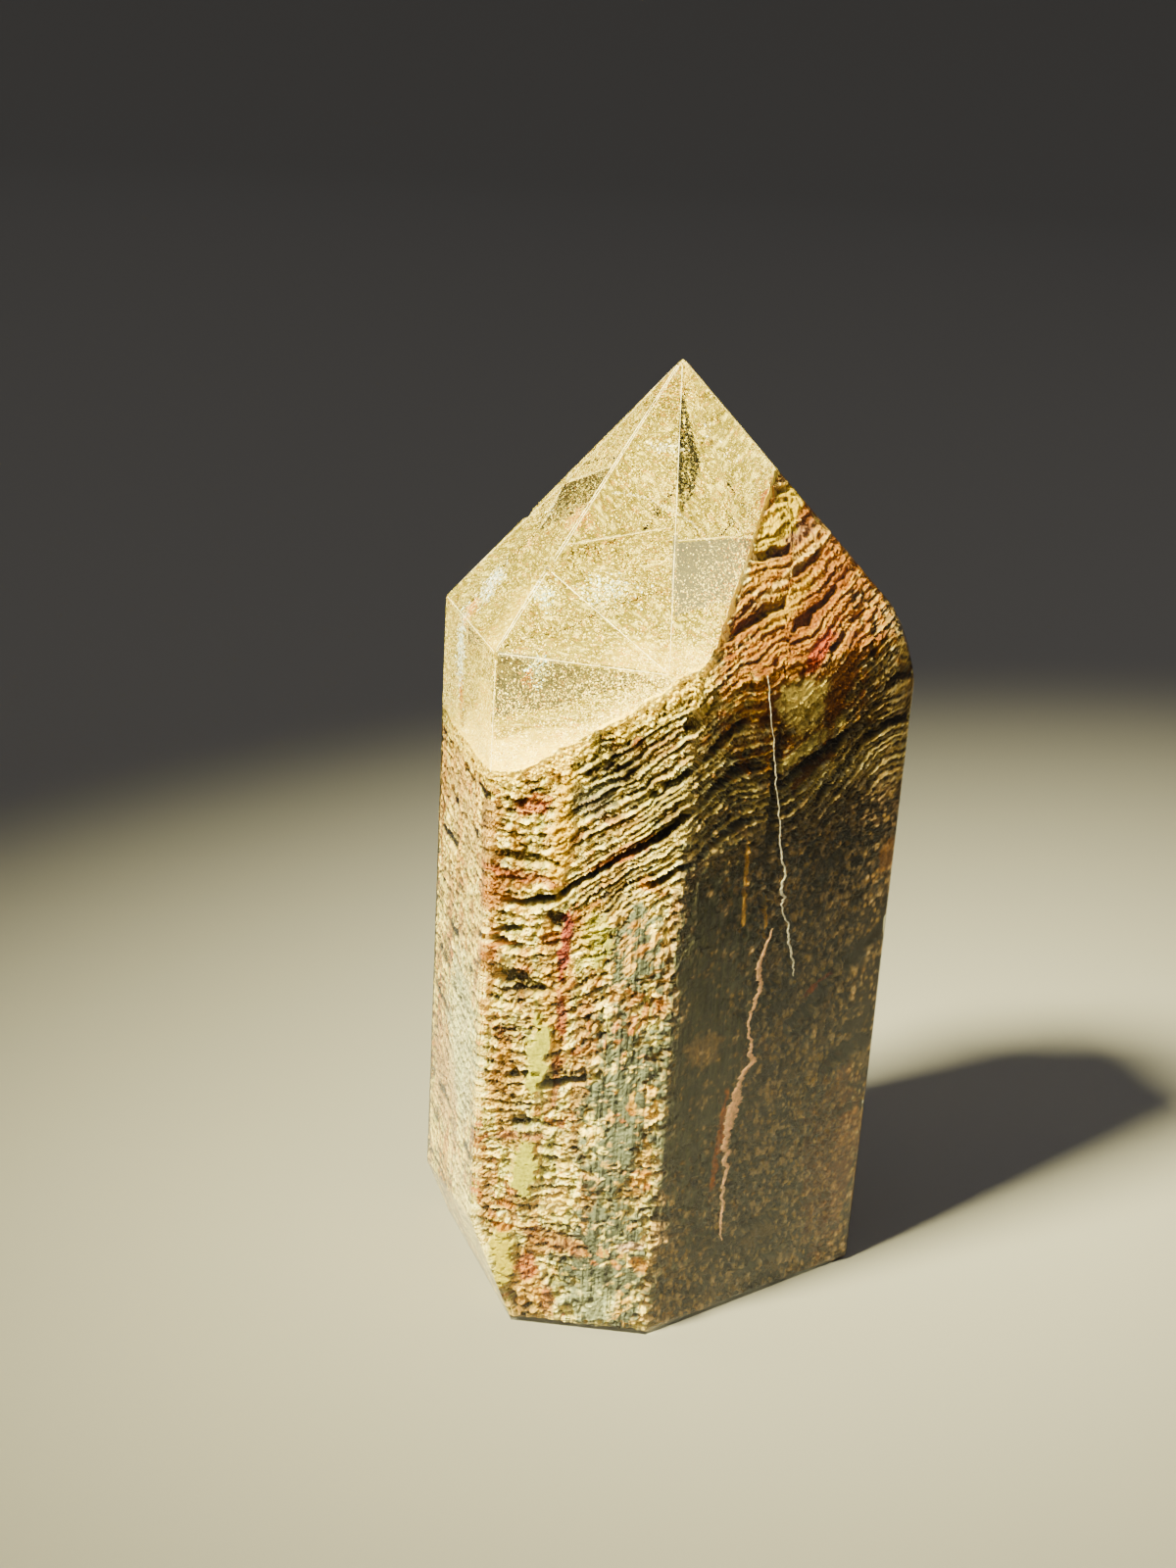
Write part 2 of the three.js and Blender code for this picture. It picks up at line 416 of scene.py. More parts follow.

# Marks on the near side: x, z, half width, half height, turn, colour, strength, depth. A mark with a
# depth below 0 is a smooth crystal that fills its place.
# The near-black marks are painted shade: the dark insides of pits and gaps, the shadow of the fault and
# the shadow under the cream ledge.
MARKS = (
    (-11.9, 49.6, 1.7, 0.9, 12, CRIMSON, 0.75, 0.2),
    (-9.4, 53.0, 1.2, 0.4, 48, ORANGE, 0.9, 0.0),
    (-9.2, 47.4, 0.85, 6.2, -3, (0.52, 0.34, 0.0), 0.95, -0.5),
    (-12.9, 44.9, 3.1, 0.5, -4, SHADE_BLACK, 0.8, 0.9),
    (-12.6, 43.3, 3.8, 0.55, -7, (0.20, 0.050, 0.012), 0.85, 0.0),
    (-14.7, 41.6, 1.4, 1.9, -30, SALMON, 0.7, 0.0),
    (-14.9, 36.8, 0.8, 1.6, -20, SALMON, 0.7, 0.0),
    (-11.3, 41.0, 1.6, 0.35, 5, SHADE_BLACK, 0.9, 0.9),
    (-13.4, 38.3, 1.5, 0.35, 12, SHADE_BLACK, 0.9, 0.9),
    (-9.3, 39.5, 0.8, 0.9, 30, SHADE_BLACK, 0.9, 1.2),
    (-13.2, 33.9, 1.6, 0.7, 0, SHADE_BLACK, 0.9, 1.1),
    (-11.2, 33.0, 1.3, 0.5, 10, SHADE_BLACK, 0.8, 0.9),
    (-11.9, 34.6, 0.8, 0.35, 0, PINK, 0.9, 0.0),
    (-11.6, 24.7, 1.4, 0.5, 15, SHADE_BLACK, 0.8, 0.9),
    (-11.4, 20.2, 0.9, 0.5, 0, SHADE_BLACK, 0.8, 0.9),
    (-11.8, 18.7, 2.4, 0.4, 3, (0.29, 0.12, 0.036), 0.9, 0.0),
    (-10.2, 26.6, 0.95, 3.6, -3, LEMON, 1.0, -1.2),
    (-10.9, 15.6, 1.1, 2.9, -3, LEMON, 1.0, -1.2),
    (-12.6, 6.2, 1.3, 3.2, -4, YELLOW, 1.0, -0.9),
    (-12.9, 11.8, 1.1, 0.4, 0, ORANGE, 0.9, 0.2),
    (-12.6, 9.6, 1.1, 0.35, 0, ORANGE, 0.9, 0.3),
    (-8.4, 37.2, 0.55, 3.4, -4, (0.17, 0.022, 0.018), 0.95, 0.0),
    (-8.4, 30.5, 0.45, 3.2, 4, (0.16, 0.030, 0.014), 0.9, 0.0),
    (-8.6, 24.6, 0.42, 2.6, 0, (0.15, 0.045, 0.012), 0.9, 0.0),
    (-9.6, 37.6, 0.8, 0.8, 0, (0.23, 0.075, 0.004), 0.8, 0.4),
    (-8.0, 8.8, 2.8, 1.0, -15, (0.21, 0.065, 0.006), 0.75, 0.0),
    (-10.2, 5.6, 1.0, 1.3, 0, (0.34, 0.081, 0.018), 0.8, 0.0),
    (-8.2, 2.2, 0.7, 1.4, 0, (0.23, 0.065, 0.012), 0.8, 0.0),
    (-4.6, 45.3, 2.8, 0.32, 28, (0.21, 0.041, 0.008), 0.85, 0.1),
    (-3.2, 46.9, 2.2, 0.28, 28, (0.21, 0.048, 0.012), 0.8, 0.1),
    (-1.8, 43.4, 0.7, 0.6, 30, ORANGE, 0.8, 0.0),
    (-6.7, 50.4, 2.2, 1.7, 30, (0.17, 0.18, 0.12), 0.6, 0.4),
    (-5.7, 38.0, 1.3, 2.4, 0, LEMON, 0.6, -0.4),
    (-1.3, 8.9, 1.7, 0.45, 8, (0.44, 0.30, 0.20), 0.95, 0.0),
    (0.0, 7.2, 1.0, 0.8, 0, AMBER, 0.9, 0.4),
    (-4.5, 3.0, 2.4, 2.2, 0, (0.42, 0.46, 0.28), 0.55, 0.0),
    (0.6, 38.0, 0.3, 5.0, 0, (0.36, 0.23, 0.072), 0.8, 0.0),
    (6.9, 42.6, 0.19, 3.8, 0, (0.95, 0.48, 0.030), 1.0, 0.0),
    (9.1, 38.6, 0.16, 1.8, 0, (0.95, 0.48, 0.030), 1.0, 0.0),
    (6.4, 17.5, 0.32, 5.0, -4, (0.46, 0.12, 0.001), 1.0, 0.1),
    (4.3, 27.5, 1.6, 1.6, 60, TAN, 0.5, 0.0),
    # Painted shadow of the fault
    (8.9, 49.0, 0.4, 7.0, 0, SHADE_BLACK, 0.8, 0.9),
    (12.0, 54.2, 3.6, 0.6, 33, CREAM, 0.9, 0.0),
    # Painted shadow under the cream ledge
    (12.7, 52.7, 3.8, 0.6, 33, SHADE_BLACK, 0.95, 1.6),
    (12.0, 51.4, 2.2, 0.35, 33, RUST, 0.85, 0.2),
    (10.8, 57.8, 2.0, 2.4, 20, CREAM, 0.75, 0.0),
    (14.2, 58.4, 1.0, 4.2, -14, (0.23, 0.070, 0.002), 0.9, 0.3),
    (12.0, 62.4, 2.3, 0.7, 52, (0.24, 0.030, 0.004), 0.95, 0.4),
    (9.0, 66.2, 3.0, 1.0, 28, (0.42, 0.24, 0.0), 0.9, 0.1),
    (12.3, 66.6, 3.2, 1.1, 40, (0.20, 0.060, 0.0), 0.9, 0.3),
    (9.6, 68.7, 4.2, 0.4, 36, (0.60, 0.40, 0.08), 0.8, 0.0),
    (6.2, 68.6, 2.2, 1.1, 40, (0.39, 0.19, 0.0), 0.9, 0.0),
    (9.2, 71.0, 2.8, 0.8, 34, BROWN, 0.9, 0.3),
    (8.0, 72.4, 3.6, 1.5, 48, (0.50, 0.35, 0.0), 1.0, 0.0),
    (10.6, 72.6, 1.0, 0.8, 0, (0.20, 0.060, 0.0), 0.9, 0.2),
    (6.4, 74.0, 1.6, 0.9, 55, SALMON, 0.8, 0.0),
    (4.2, 69.5, 1.2, 4.4, -18, WHITE, 0.85, 0.0),
    (15.0, 30.7, 1.4, 0.5, 25, (0.41, 0.059, 0.012), 0.85, 0.0),
    (20.2, 41.7, 0.7, 1.6, 0, (0.63, 0.24, 0.018), 0.5, 0.0),
    (17.6, 12.0, 2.6, 9.0, 0, (0.31, 0.089, 0.007), 0.45, 0.0),
    (-18.2, 46.0, 2.0, 4.5, 0, (0.43, 0.28, 0.096), 0.5, 0.0),
    (-17.4, 24.0, 1.6, 8.0, 0, (0.52, 0.60, 0.42), 0.55, 0.0),
    (-19.4, 17.0, 1.6, 5.0, 0, (0.43, 0.27, 0.096), 0.65, 0.0),
    (-15.6, 7.0, 1.6, 5.5, 20, (0.80, 0.74, 0.34), 0.6, 0.0),
)


def fold(p):
    """Height of each point above its layer's resting level: flat on the left, an arch, a fault."""
    x, z = p[:, 0], p[:, 2]
    strength = 0.12 + 0.88 * ease(16, 44, z)
    rise = 12.0 * np.interp(x, [-12, -9, 5, 8.5], [0.0, 0.08, 0.94, 1.0])
    fault = 6.5 * ease(-0.12, 0.12, x - 9.0 - 0.3 * field("fault", p))
    again = 8.5 * ease(8, 21, x)
    return z - strength * (rise - fault + again)


def steps(w, period):
    """The number of the layer each point lies in, and how far up it."""
    layer = np.floor(w / period)
    return layer, w / period - layer


def spot(p, ragged, x, z, half_width, half_height, turn_deg):
    """1 inside a ragged oval on the near side of the crystal, 0 outside."""
    a = math.radians(turn_deg)
    dx, dz = p[:, 0] - x, p[:, 2] - z
    along, across = dx * math.cos(a) + dz * math.sin(a), dz * math.cos(a) - dx * math.sin(a)
    q = np.hypot(along / half_width, across / half_height) + ragged
    return ease(1.25, 0.75, q) * ease(3, 0, p[:, 1])


def zones(p):
    """The part of the garden that each point lies in, and its level w in the folded layers."""
    x, y, z = p.T
    ragged = 0.45 * field("ragged", p) + 0.3 * field("fine_ragged", p)
    w = fold(p) + 0.8 * field("wave", p) + 0.32 * field("ripple", p) + 0.16 * field("wrinkle", p)
    silky = np.zeros(len(p))
    for px, pz, half_width, half_height in PANES:
        silky = np.maximum(silky, spot(p, 1.3 * ragged, px, pz, half_width, half_height, 0))
    return SimpleNamespace(
        p=p, x=x, y=y, z=z, w=w, flow=np.c_[x, y, w], ragged=ragged, silky=silky,
        right=ease(0.4, 1.6, x) * ease(8, 0, y),
        upper=ease(42, 48, z - 0.2 * x),
        layered=ease(-10, -6, x) * ease(42, 47, z + 0.35 * (8 - x)) * (1 - silky),
    )


def lay_layers(g):
    """Ledges, each deepest under the lip of the next, the thin folded layers, and wide dark gaps."""
    layer, g.rise = steps(g.w, LEDGE_PERIOD)
    lip = 0.5 + 0.5 * np.tanh(3 * field("lip", np.c_[g.x, g.y, layer]) + 0.6 * g.layered)
    g.ledge = g.rise ** 1.5 * lip * (0.45 + 0.55 * g.layered) * (1 - 0.95 * g.silky)
    layer, g.thin_rise = steps(g.w + 0.12 * field("thin_shift", g.p), THIN_LEDGE_PERIOD)
    run = field("thin_run", np.c_[g.x, g.y, layer])
    g.thin_ledge = g.layered * g.thin_rise ** 1.3 * (0.45 + 0.3 * run)

    level = g.w / GAP_PERIOD + GAP_SHIFT
    band = np.floor(level)
    g.gap_run = field("gap_run", np.c_[g.x, g.y, band]) + 0.3 * field("gap_break", g.p)
    g.gap_run = g.gap_run + 0.25 * g.layered * ease(14, 8, g.x)
    open_part = ease(0.76, 0.86, level - band + 0.1 * g.ragged)
    g.gap = open_part * ease(0.2, 0.38, g.gap_run) * (1 - g.silky)


def lay_crumbs(g):
    """Wriggling crests, crumbs, and the upright lines of the silky panes."""
    g.crest = np.clip(1 - 2.6 * np.abs(field("crest", g.flow)), 0, 1)
    g.fine_crest = np.clip(1 - 2.4 * np.abs(field("fine_crest", g.flow)), 0, 1)
    far, g.own = grains("crumb", g.flow)
    g.crumb = ease(0.75, 0.1, far)
    far, g.fine_own = grains("fine_crumb", g.p)
    g.fine_crumb = ease(0.7, 0.1, far)
    g.height = 0.3 * g.crest + 0.15 * g.fine_crest + 0.35 * g.crumb + 0.2 * g.fine_crumb
    g.silk = field("silk", g.p) + 0.7 * field("fine_silk", g.p)


def sunk_depth(g):
    """Depth of the garden's surface below its skin."""
    depth = CRUMB_DEPTH * (1 - g.height) * (1 - 0.75 * g.silky) * (1 - 0.5 * g.layered)
    depth = depth + SILK_DEPTH * g.silk * g.silky
    return depth + (g.ledge + g.thin_ledge + GAP_DEPTH * g.gap)


def specks(g):
    """Chains of small bright crumbs that run up the dark lower right side."""
    far, g.speck_own = grains("speck", g.p)
    chain = field("chain", g.p) + 0.5 * field("wide_chain", g.p)
    speck = ease(0.62, 0.25, far) * ease(0.52, 0.62, g.speck_own + 0.42 * chain)
    far, own = grains("clump", g.p, 0.25 * field("clump_shift", g.p)[:, None])
    clump = ease(0.55, 0.3, far) * ease(0.62, 0.7, own + 0.5 * field("clump_chain", g.p))
    return np.maximum(speck * (0.35 + 0.45 * g.fine_own), clump * (0.42 + 0.5 * g.fine_crumb))


def painted_light_and_shade(g):
    """0 in the hollows to 1 on the crumbs, along the crests, ledges and thin layers: painted light on the
    crests and crumbs, and painted shade in the hollows, in the gaps, under each lip and on the lower right
    side.
    """
    own, fine_own = g.own - 0.5, g.fine_own - 0.5
    bright = 0.1 + 0.5 * g.crest + 0.3 * g.fine_crest + 0.35 * g.crumb + 0.3 * g.fine_crumb
    bright = bright + (0.5 * own + 0.25 * fine_own + 0.6 * field("light", g.flow))
    # The right side is darker, partly as painted shade for the side turned from the key light, and lighter
    # again higher up
    bright = bright - 0.6 * g.ledge - 0.16 * g.right + 0.2 * g.upper * g.right - 0.12 * g.silky
    bright = ease(0.40, 0.80, bright)
    # Painted shade: each thin layer is light at its foot and dark under the lip of the next
    line = ease(0.72, 0.22, g.thin_rise + 0.3 * fine_own) * ease(-0.6, 0.0, g.gap_run)
    bright = mixed(bright, line, 0.7 * g.layered)
    # Painted shade under the lip of each ledge, lighter towards the ledge's foot
    ledges = ease(0.95, 0.4, g.rise + 0.5 * own + 0.25 * fine_own)
    bright = mixed(bright, ledges, 0.5 * (1 - g.layered) * (1 - g.silky) * (1 - g.right))
    # Painted shade, partly the side's own dark colour: the lower right side is dark but for its bright
    # specks
    lower_right = g.right * (1 - g.upper)
    bright = bright * (1 - 0.85 * lower_right) + lower_right * specks(g)
    # Painted shade in the wide gaps
    return np.clip(bright * (1 - g.gap), 0, 1)


def crumb_colours(g):
    """Cream crumbs, some of them pink, salmon or amber, in columns and dark patches."""
    warm = ease(-0.2, 0.4, field("warm", g.p)) * (1 - 0.5 * g.right)
    tone = tinted(CREAM, WHITE, pick(g.fine_own, 0.0, 0.22))
    tone = tinted(tone, PINK, pick(g.own, 0.52, 0.64) * warm)
    tone = tinted(tone, SALMON, pick(g.own, 0.72, 0.82) * warm)
    tone = tinted(tone, AMBER, pick(g.own, 0.84, 0.95) * (0.3 + 0.7 * warm))
    column = field("column", g.p) + 0.35 * field("fine_column", g.p)
    plain = (1 - g.right) * (1 - 0.7 * g.layered)
    tone = tinted(tone, GOLDEN_COLUMN, 0.75 * ease(0.22, 0.42, column) * plain)
    tone = tinted(tone, RUSTY_COLUMN, 0.7 * ease(-0.22, -0.42, column) * plain)
    tone = tinted(tone, GREEN_COLUMN, 0.7 * pick(column, -0.02, 0.09) * plain)
    patch = ease(0.1, 0.45, field("patch", g.flow)) * (1 - g.right)
    tone = tone * (1 - 0.5 * patch[:, None] * np.array([0.8, 1.0, 1.2])).clip(0.2, 1)
    # The right side's crumbs are darker, partly their own colour and partly painted shade for the side
    # turned from the key light
    tone = tinted(tone, RIGHT_CRUMB, 0.8 * g.right * (1 - 0.6 * g.upper))
    return tinted(tone, RIGHT_SPECK, g.right * (1 - g.upper) * pick(g.speck_own, 0.0, 0.75))


def surface_colours(g):
    """Crumbs over painted shade in the hollows, bare silky panes, and the darker middle of the fold, its
    painted shade.
    """
    # Painted shade: the hollows between the crumbs are near black
    hollow_shade = tinted(HOLLOW_SHADE, SILKY_HOLLOW_SHADE, g.silky * (1 - g.right))
    hollow_shade = tinted(hollow_shade, RIGHT_SILKY_HOLLOW_SHADE, g.silky * g.right)
    colour = tinted(hollow_shade, crumb_colours(g), g.bright)
    # Painted sheen: the silky panes are lighter and darker along their upright silk lines
    sheen = np.clip(0.5 + 0.75 * g.silk + 0.3 * g.fine_crest, 0.08, 1.5)
    # On the right the panes are olive, darker than slate partly as painted shade
    pane = tinted(SLATE, OLIVE, g.right) * sheen[:, None]
    colour = tinted(colour, pane, g.silky * (1 - ease(0.42, 0.56, g.own) * g.bright))
    return colour * (1 - 0.4 * spot(g.p, g.ragged, *FOLD_SHADE))[:, None]


def rusted(g, colour):
    """The colours with the bank under the point stained, and the layers beyond it dark brown."""
    beyond = ease(12.5, 15.5, g.x + 2 * g.ragged) * ease(50, 56, g.z) * ease(3, 0, g.y)
    colour = colour * (1 - beyond[:, None] * np.array([0.55, 0.60, 0.60]))
    g.rusty = spot(g.p, 1.3 * g.ragged, *RUST_PLACE) * ease(-0.7, -0.1, field("rust_run", g.flow))
    # Painted light and shade: the stain is darkest in the hollows and lightest, with a painted highlight,
    # on its brightest crests
    glowing = ease(0.8, 1.0, g.bright) * ease(0.35, 0.6, g.fine_own)
    stain = tinted(STAIN[0], STAIN[1], ease(0.0, 0.4, g.bright))
    stain = tinted(stain, STAIN[2], ease(0.6, 1.0, g.bright) * ease(-0.2, 0.3, field("rust_orange", g.p)))
    stain = tinted(stain, STAIN[3], 0.8 * glowing)
    stain = tinted(stain, STAIN_SEAM, 0.75 * ease(0.12, 0.4, field("rust_seam", g.flow)))
    return tinted(colour, stain, 0.97 * g.rusty)


def marked(g, colour, depth):
    """The colours and depths with the marks on them, which keep the crumbs' painted light and shade."""
    # Painted light and shade from the crumbs and crests, weaker on the smooth crystals
    crumb_shade = 0.4 + 0.65 * np.maximum(g.bright, 0.4 * g.height) + 0.25 * g.fine_crumb
    smooth = 0.9 + 0.25 * (crumb_shade - 0.9)
    for x, z, half_width, half_height, turn, paint, strength, sunk in MARKS:
        amount = strength * spot(g.p, g.ragged, x, z, half_width, half_height, turn)
        shade = crumb_shade if sunk >= 0 else smooth
        colour = tinted(colour, np.array(paint) * shade[:, None], amount)
        depth = depth + sunk * amount
    return colour, depth


def sanded(g, on_top, colour, depth):
    """Fine golden sand on the garden's top, whose grains spread a little way down the skin.

    The sand's alpha says how much less fine speckle it has than the rest."""
    under = (SLOPE_DISTANCES[None, :] - g.p @ SLOPE_NORMALS.T).max(axis=1)
    spread = ease(2.8, 0.0, under + 2.2 * g.ragged + 1.8 * (g.own - 0.5)) * ease(4, 1, g.x)
    sand = np.where(on_top, 1.0, spread)
    # Painted light: the sand is brighter towards the front, a glow of light gathered on it
    glow = ease(9, -14, g.y + 5 * field("glow", g.p) + 2.5 * field("small_glow", g.p))
    tone = tinted(DARK_SAND, BRIGHT_SAND, glow)
    tone = tinted(tone, WHITE, pick(g.fine_own, 0.0, 0.1) * 0.6)
    tone = tinted(tone, AMBER, pick(g.fine_own, 0.93, 0.99) * 0.6)
    # Painted light and shade: the sand on the skin is lighter on its fine crumbs and crests
    crumb_shade = 0.45 + 0.7 * g.fine_crumb + 0.3 * g.fine_crest
    tone = tone * np.where(on_top, 0.9 + 0.15 * g.fine_crumb, crumb_shade)[:, None]
    fine_relief = np.where(on_top, 0.06, 0.3) * (1 - g.fine_crumb)
    depth = depth * (1 - sand) * (1 - 0.5 * g.rusty) + fine_relief * sand
    colour = np.clip(tinted(colour, tone, 0.92 * sand), 0, 1)
    return depth, np.c_[colour, 1 - np.where(on_top, 0.8, 0.1) * sand]


def relief(p, on_top):
    """Depth (mm) below the skin and colour of the garden at each point."""
    g = zones(p)
    lay_layers(g)
    lay_crumbs(g)
    g.bright = painted_light_and_shade(g)
    colour = rusted(g, surface_colours(g))
    colour, depth = marked(g, colour, sunk_depth(g))
    depth, colour = sanded(g, on_top, colour, depth)
    return np.maximum(depth, 0), colour


def garden_wedge(name, start_deg, end_deg, spacing):
    """A closed slice of the garden between two directions from its axis."""
    azimuths = columns(start_deg - SEAM_OVERLAP_DEG, end_deg + SEAM_OVERLAP_DEG, spacing)
    heights, rises, level = rows(spacing)
    azimuth, height = np.meshgrid(azimuths, heights)
    _, rise = np.meshgrid(azimuths, rises)
    p, out, on_top, rim = garden_skin(azimuth.ravel(), height.ravel(), rise.ravel())
    depth, colours = relief(p, on_top)
    depth *= ease(-0.3, 1.5, rim)
    from_edge = np.hypot(p[:, 0] - RIGHT_EDGE[0], p[:, 1] - RIGHT_EDGE[1])
    depth *= 0.12 + 0.88 * ease(0.3, RIGHT_EDGE_REACH, from_edge)
    place = p - out * depth[:, None]
    place[:, 2] = np.maximum(place[:, 2], FOOT_Z)
    top = garden_skin(np.zeros(1), np.full(1, CROWN_Z), np.full(1, math.pi / 2))[0]
    top = top - np.array([[0, 0, POLE_DEPTH]])
    place = np.r_[place, np.c_[np.tile(AXIS, (level, 1)), heights[:level]], top]
    colours = np.r_[colours, np.tile(np.array(BROWN + (1.0,)), (level + 1, 1))]
    return mesh_piece(name, place, wedge_faces(len(heights), len(azimuths), level), colours)


def wedge_faces(row_count, cols, level):
    """The faces of a slice: its skin, its two walls, its foot and the fan round its top.

    Its points are the skin's rows, then the axis up to the crown, and then the top."""
    count = row_count * cols
    idx = np.arange(count).reshape(row_count, cols)
    quads = np.stack([idx[:-1, :-1], idx[:-1, 1:], idx[1:, 1:], idx[1:, :-1]], axis=-1)
    faces = quads.reshape(-1, 4).tolist()
    axis = count + np.minimum(np.arange(row_count), level - 1)
    pole = count + level
    for k, turn in ((0, 1), (cols - 1, -1)):
        for row in range(row_count - 1):
            wall = [idx[row + 1, k], axis[row + 1], axis[row], idx[row, k]]
            wall = wall if row < level - 1 else [wall[0], wall[1], wall[3]]
            faces.append([int(v) for v in wall[::turn]])
        faces.append([int(v) for v in (pole, axis[-1], idx[-1, k])[::turn]])
    faces += [(int(idx[0, k + 1]), int(idx[0, k]), int(axis[0])) for k in range(cols - 1)]
    faces += [(int(idx[-1, k]), int(idx[-1, k + 1]), int(pole)) for k in range(cols - 1)]
    return faces


def mesh_piece(name, place, faces, colours):
    """A piece of the inclusions, painted reflections and painted highlights, with a colour at each of its
    points.
    """
    mesh = bpy.data.meshes.new(name)
    mesh.from_pydata((place * MM).tolist(), [], faces)
    layer = mesh.color_attributes.new("garden_colour", "FLOAT_COLOR", "POINT")
    colours = np.c_[colours, np.ones((len(colours), 4 - colours.shape[1]))]
    layer.data.foreach_set("color", colours.astype(np.float32).ravel())
    piece = bpy.data.objects.new(name, mesh)
    bpy.context.scene.collection.objects.link(piece)
    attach(piece, "root")
    return piece


# Flakes that hang in the clear quartz, some of them painted reflections

TETRA = np.array([(1, 1, 1), (1, -1, -1), (-1, 1, -1), (-1, -1, 1)]) / math.sqrt(3)
TETRA_FACES = np.array([(0, 1, 2), (0, 2, 3), (0, 3, 1), (1, 3, 2)])

# The fine haze is picked from random points in a box (mm)
HAZE_POINTS = 900000
HAZE_BOX = ((-21, -19, 48), (10, 19, 85))
MOST_FLAKES = 45000
HAZE_SIZES = (0.04, 0.13)
HAZE_COLOURS = ((BRIGHT_GOLD, 7), (WHITE, 3), (AMBER, 0.6), (GOLD, 1))
STAINED_HAZE = ((ORANGE, 4), (RUST, 2), ((0.80, 0.50, 0.02), 3))

# Small veils and clusters in the clear quartz: middle, half sizes, count, flake size, colours. The first
# five, bluish white, are painted reflections of the sky light.
CLUSTERS = (
    ((-16.0, -3.2, 64.6), (1.2, 1.6, 2.2), 572, 0.16, (SKY_REFLECTION, (0.92, 0.92, 0.90))),
    ((-6.6, -12.6, 67.0), (1.8, 1.0, 1.4), 528, 0.13, ((0.70, 0.86, 1.0), WHITE)),
    ((-11.6, -13.0, 66.4), (0.9, 0.8, 1.0), 286, 0.14, (SKY_REFLECTION, WHITE)),
    ((-11.8, -16.7, 61.2), (0.8, 0.4, 1.2), 242, 0.12, (SKY_REFLECTION, WHITE)),
    ((-18.4, -3.4, 59.0), (0.5, 1.6, 3.4), 660, 0.17, (SKY_REFLECTION, (0.90, 0.92, 0.92))),
    ((-17.6, -4.0, 62.4), (0.7, 1.0, 1.1), 286, 0.16, (ORANGE, GOLD)),
    ((-12.5, -16.7, 60.6), (0.4, 0.3, 0.7), 110, 0.12, (ORANGE, AMBER)),
    ((-18.5, -4.4, 55.2), (0.5, 0.8, 1.4), 286, 0.16, (ORANGE, AMBER)),
    ((-9.2, -7.6, 71.8), (1.1, 0.7, 1.1), 374, 0.12, (ORANGE, GOLD, AMBER)),
    ((-13.6, -4.0, 69.0), (0.9, 0.9, 1.2), 286, 0.14, (GOLD, ORANGE, WHITE)),
    ((-2.3, -5.2, 77.9), (1.5, 0.3, 0.5), 132, 0.17, (FROST, WHITE)),
    ((1.2, -2.4, 80.2), (1.3, 0.6, 1.7), 66, 0.13, (FROST, WHITE)),
    ((3.2, -2.6, 77.6), (1.2, 0.6, 1.2), 57, 0.12, (FROST, GOLD)),
    ((-12.0, -1.4, 71.0), (1.5, 0.8, 1.2), 88, 0.13, (FROST, WHITE)),
)

# Bowed streaks of flakes: start, end, half width, count, flake size, colours
STREAKS = (
    ((-6.6, -7.6, 74.2), (-1.2, -8.9, 73.1), 0.07, 260, 0.07, (PALE_FROST, WHITE)),
    ((-1.2, -8.9, 73.1), (2.3, -8.9, 70.0), 0.07, 200, 0.07, (PALE_FROST, WHITE)),
)
STREAK_BOW = 0.5

# A painted dark reflection right of the ridge, drawn as a flat sliver of dark flakes just under the
# polish: its corners
DARK_REFLECTION_SLIVER = ((-1.0, -2.4, 82.4), (0.7, -5.4, 77.2), (0.4, -7.3, 75.1), (-0.7, -9.2, 73.3), (-1.1, -6.2, 77.7))
SLIVER_FLAKES = 1000
SLIVER_SIZES = (0.10, 0.24)
SLIVER_DEPTH = 0.50
SLIVER_COLOURS = (((0.035, 0.03, 0.008), 3), ((0.16, 0.13, 0.04), 1))


def random_turns(count):
    """Random rotation matrices."""
    q = rng.normal(size=(count, 4))
    w, x, y, z = (q / np.linalg.norm(q, axis=1)[:, None]).T
    return np.stack([
        np.stack([1 - 2 * (y * y + z * z), 2 * (x * y - z * w), 2 * (x * z + y * w)], axis=-1),
        np.stack([2 * (x * y + z * w), 1 - 2 * (x * x + z * z), 2 * (y * z - x * w)], axis=-1),
        np.stack([2 * (x * z - y * w), 2 * (y * z + x * w), 1 - 2 * (x * x + y * y)], axis=-1),
    ], axis=1)


def flakes(name, centres, sizes, colours, flatness):
    """One mesh of small four-sided flakes, each turned its own way."""
    shape = TETRA[None, :, :] * np.stack([sizes, sizes, sizes * flatness], axis=-1)[:, None, :]
    place = np.einsum("nij,nkj->nki", random_turns(len(centres)), shape) + centres[:, None, :]
    faces = (TETRA_FACES[None, :, :] + 4 * np.arange(len(centres))[:, None, None]).reshape(-1, 3)
    return mesh_piece(name, place.reshape(-1, 3), faces.tolist(), np.repeat(colours, 4, axis=0))


def palette(count, choices):
    """A random colour for each flake, from (colour, share) pairs."""
    shares = np.array([share for _, share in choices])
    which = rng.choice(len(choices), size=count, p=shares / shares.sum())
    return np.array([c for c, _ in choices])[which] * rng.uniform(0.7, 1.1, size=(count, 1))


def haze_density(p, above):
    """The share of points kept: dense over the garden, by the bank and under the polish."""
    x, y, z = p.T
    near_polish = np.exp(-room_under(p).min(axis=1) / 1.5)
    over_bank = 0.6 * np.exp(-above / 0.7) + 0.7 * near_polish * np.exp(-above / 1.8)
    density = np.exp(-above / 1.6) * (0.25 + 0.9 * near_polish) + ease(-1, 3, x) * over_bank + 0.012
    density = density + 0.3 * near_polish * ease(-0.5, 1.5, x) * ease(73, 69, z)
    density = density + 0.22 * near_polish * np.exp(-above / 6.0) * ease(2, -8, y - 0.3 * x)
    return density * (0.6 + 0.8 * ease(-0.4, 0.4, field("haze", p)))


